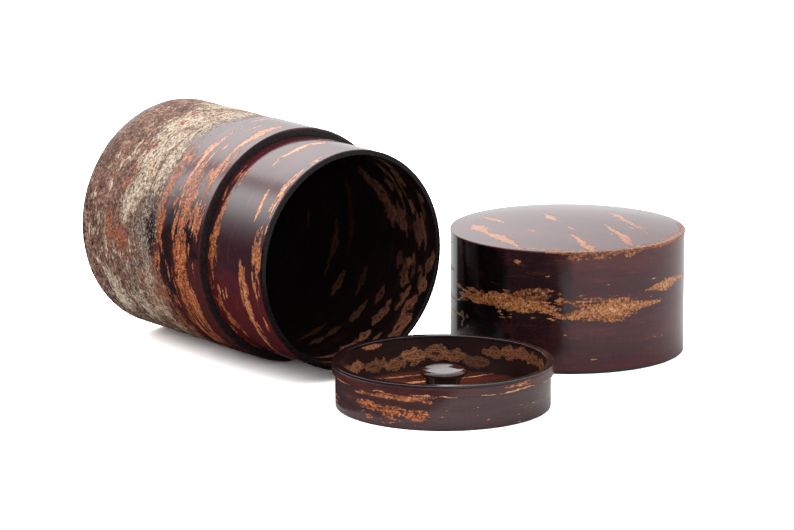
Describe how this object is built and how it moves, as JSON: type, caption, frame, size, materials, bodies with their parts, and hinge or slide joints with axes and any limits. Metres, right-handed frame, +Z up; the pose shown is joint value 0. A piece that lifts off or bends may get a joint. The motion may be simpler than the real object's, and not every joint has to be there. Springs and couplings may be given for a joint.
{
  "type": "tea caddy",
  "caption": "Round bark-covered wooden tea caddy, opened: tube body lying on its side with a raised sleeve at the mouth, a domed outer lid and a shallow inner lid with a knob beside it.",
  "frame": {"origin": "on the table, under the middle of the box around the whole opened group", "axes": "+Z up; the caddy body lies along Y with its mouth towards -Y and its foot towards +Y; the outer lid stands on the +X side"},
  "size_m": [0.1656, 0.1832, 0.08],
  "materials": {
    "natural_bark": "rough natural cherry bark, polished near the shoulder",
    "polished_bark": "polished dark plum cherry bark with orange streaks",
    "inner_bark": "dark satin cherry bark lining with tan eyes",
    "floor_bark": "polished red-brown cherry bark with straight pale streaks",
    "black_lacquer": "black lacquer over wood, satin",
    "core_wood": "plain pale wood",
    "knob_wood": "glossy red-brown lacquered turned wood"
  },
  "bodies": {
    "caddy_body": {"body_bark_wrap": "natural_bark", "body_core_tube": "core_wood", "shoulder_ring": "black_lacquer", "sleeve_bark_wrap": "polished_bark", "sleeve_core_tube": "core_wood", "sleeve_bark_lining": "inner_bark", "sleeve_rim_edge": "black_lacquer", "base_board": "core_wood", "base_bark_facing": "polished_bark", "base_bark_lining": "inner_bark"},
    "outer_lid": {"outer_lid_bark_wrap": "polished_bark", "outer_lid_core_tube": "core_wood", "outer_lid_bark_lining": "inner_bark", "outer_lid_rim_edge": "black_lacquer", "outer_lid_top_board": "core_wood", "outer_lid_top_bark": "polished_bark", "outer_lid_ceiling_bark": "inner_bark"},
    "inner_lid": {"inner_lid_band_bark": "polished_bark", "inner_lid_band_core": "core_wood", "inner_lid_band_lining": "inner_bark", "inner_lid_collar": "polished_bark", "inner_lid_rim_edge": "black_lacquer", "inner_lid_board": "core_wood", "inner_lid_floor_bark": "floor_bark", "inner_lid_underside_bark": "polished_bark", "inner_lid_knob": "knob_wood", "inner_lid_knob_pin": "core_wood"}
  },
  "joints": [
    {"name": "outer_lid_lift", "type": "slide", "parent": "caddy_body", "child": "outer_lid", "axis": [0, 0, 1], "range_m": [0, 0.085]},
    {"name": "inner_lid_lift", "type": "slide", "parent": "caddy_body", "child": "inner_lid", "axis": [0, 0, 1], "range_m": [0, 0.085]}
  ]
}
